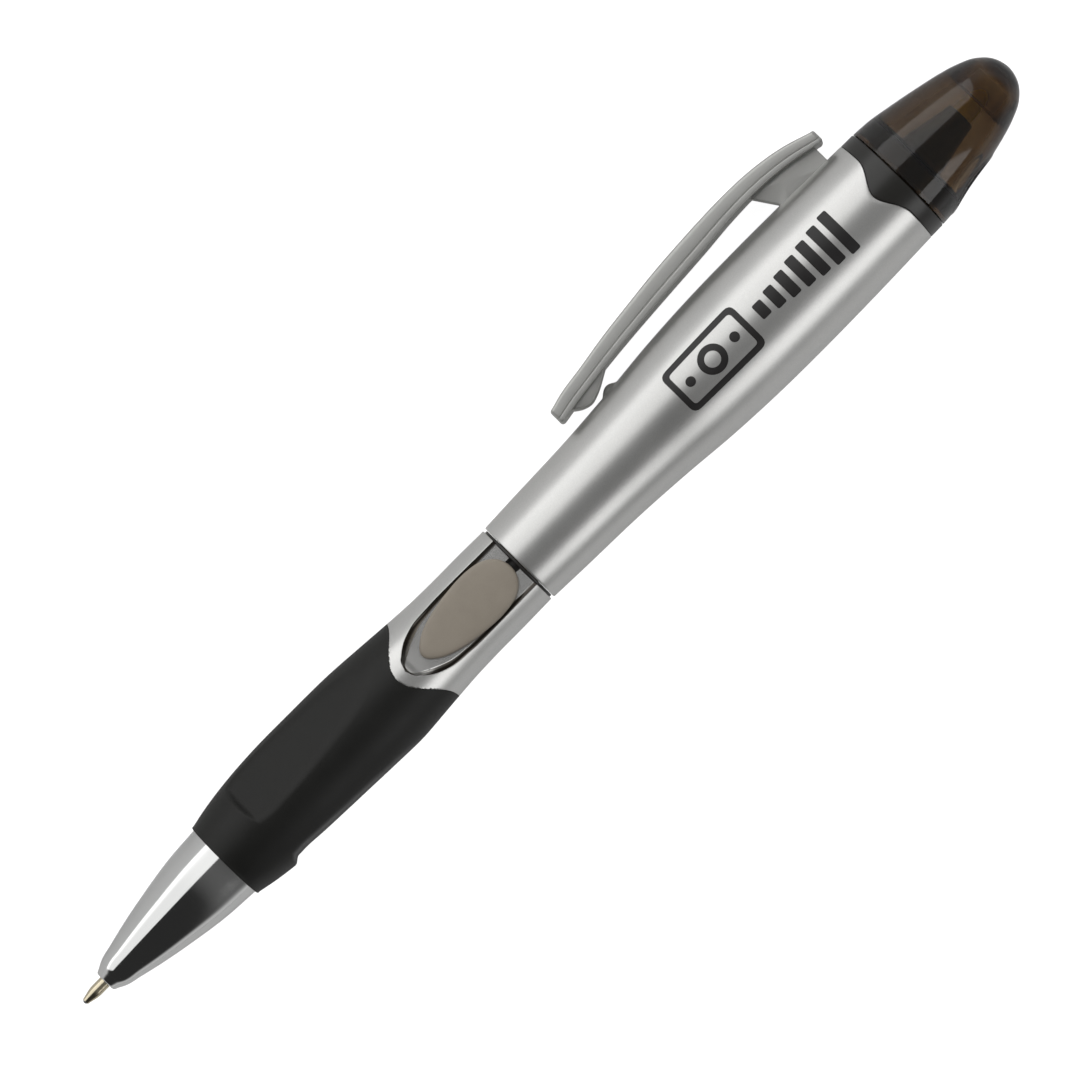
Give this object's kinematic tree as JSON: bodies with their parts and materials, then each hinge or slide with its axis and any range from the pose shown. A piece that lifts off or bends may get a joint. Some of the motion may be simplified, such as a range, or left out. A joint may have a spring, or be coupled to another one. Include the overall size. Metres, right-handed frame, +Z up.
{
  "type": "counterfeit detector pen",
  "caption": "Two-ended pen: a twist-action ballpoint with a rubber grip at one end, a banknote-testing marker under a translucent cap at the other, and a pocket clip.",
  "frame": {"origin": "centre of the footprint box on the surface that the pen lies on", "axes": "+X from the cap end to the writing end, +Z up from the surface; the clip lies on the -Y side, touching the surface. The pen's own axis dips about one degree towards the writing end."},
  "size_m": [0.146, 0.0194, 0.0149],
  "materials": {
    "silver_paint": "satin silver lacquer over moulded plastic",
    "grip_rubber": "matte black",
    "nose_chrome": "polished, very slightly satin",
    "taupe_inlay": "fine matte",
    "clip_grey": "satin moulded grey",
    "smoke_cap": "glossy translucent smoke",
    "smoke_collar": "glossy dark smoke",
    "black_moulding": "plain moulded",
    "natural_moulding": "plain moulded, unpainted",
    "spring_steel": "plain",
    "amber_felt": "dense felt wetted with amber test fluid",
    "reservoir_felt": "bonded fibre",
    "refill_brass": "drawn tube",
    "tip_alloy": "turned, bright",
    "ball_carbide": "polished",
    "ink_black": "wet",
    "follower_grease": "wet"
  },
  "bodies": {
    "barrel": {"upper_barrel": "silver_paint", "cam_sleeve": "natural_moulding", "marker_collar": "smoke_collar", "nib_holder": "black_moulding", "marker_nib": "amber_felt", "marker_reservoir": "reservoir_felt", "marker_tube": "natural_moulding", "marker_plug": "natural_moulding"},
    "front": {"lower_barrel": "silver_paint", "grip": "grip_rubber", "nose_cone": "nose_chrome", "front_inlay": "taupe_inlay", "back_inlay": "taupe_inlay", "guide_tube": "black_moulding", "retaining_ring": "spring_steel", "seam_washer": "black_moulding"},
    "refill": {"refill_carrier": "natural_moulding", "refill_tube": "refill_brass", "refill_ink": "ink_black", "ink_follower": "follower_grease", "refill_tip": "tip_alloy"},
    "ball": {"writing_ball": "ball_carbide"},
    "clip": {"clip": "clip_grey"},
    "cap": {"marker_cap": "smoke_cap"}
  },
  "joints": [
    {"name": "twist", "type": "hinge", "parent": "barrel", "child": "front", "pos_m": [0.00465, 0.00236, 0.0067], "axis": [-0.9999, 0, 0.0171], "range_deg": [0, 180]},
    {"name": "refill_travel", "type": "slide", "parent": "front", "child": "refill", "axis": [-0.9999, 0, 0.0171], "range_m": [0, 0.006]},
    {"name": "ball_roll", "type": "hinge", "parent": "refill", "child": "ball", "pos_m": [0.07264, 0.00236, 0.00554], "axis": [-0.0075, -0.8996, -0.4367], "continuous": true},
    {"name": "clip_flex", "type": "hinge", "parent": "barrel", "child": "clip", "pos_m": [-0.05104, -0.00331, 0.0049], "axis": [-0.0154, 0.4368, -0.8994], "range_deg": [0, 5], "stiffness_Nm_per_rad": 1.2},
    {"name": "cap_pull", "type": "slide", "parent": "barrel", "child": "cap", "axis": [-0.9999, 0, 0.0171], "range_m": [0, 0.03]}
  ],
  "couplings": [
    {"joint": "refill_travel", "follows": "twist", "m_per_rad": 0.0019099}
  ]
}
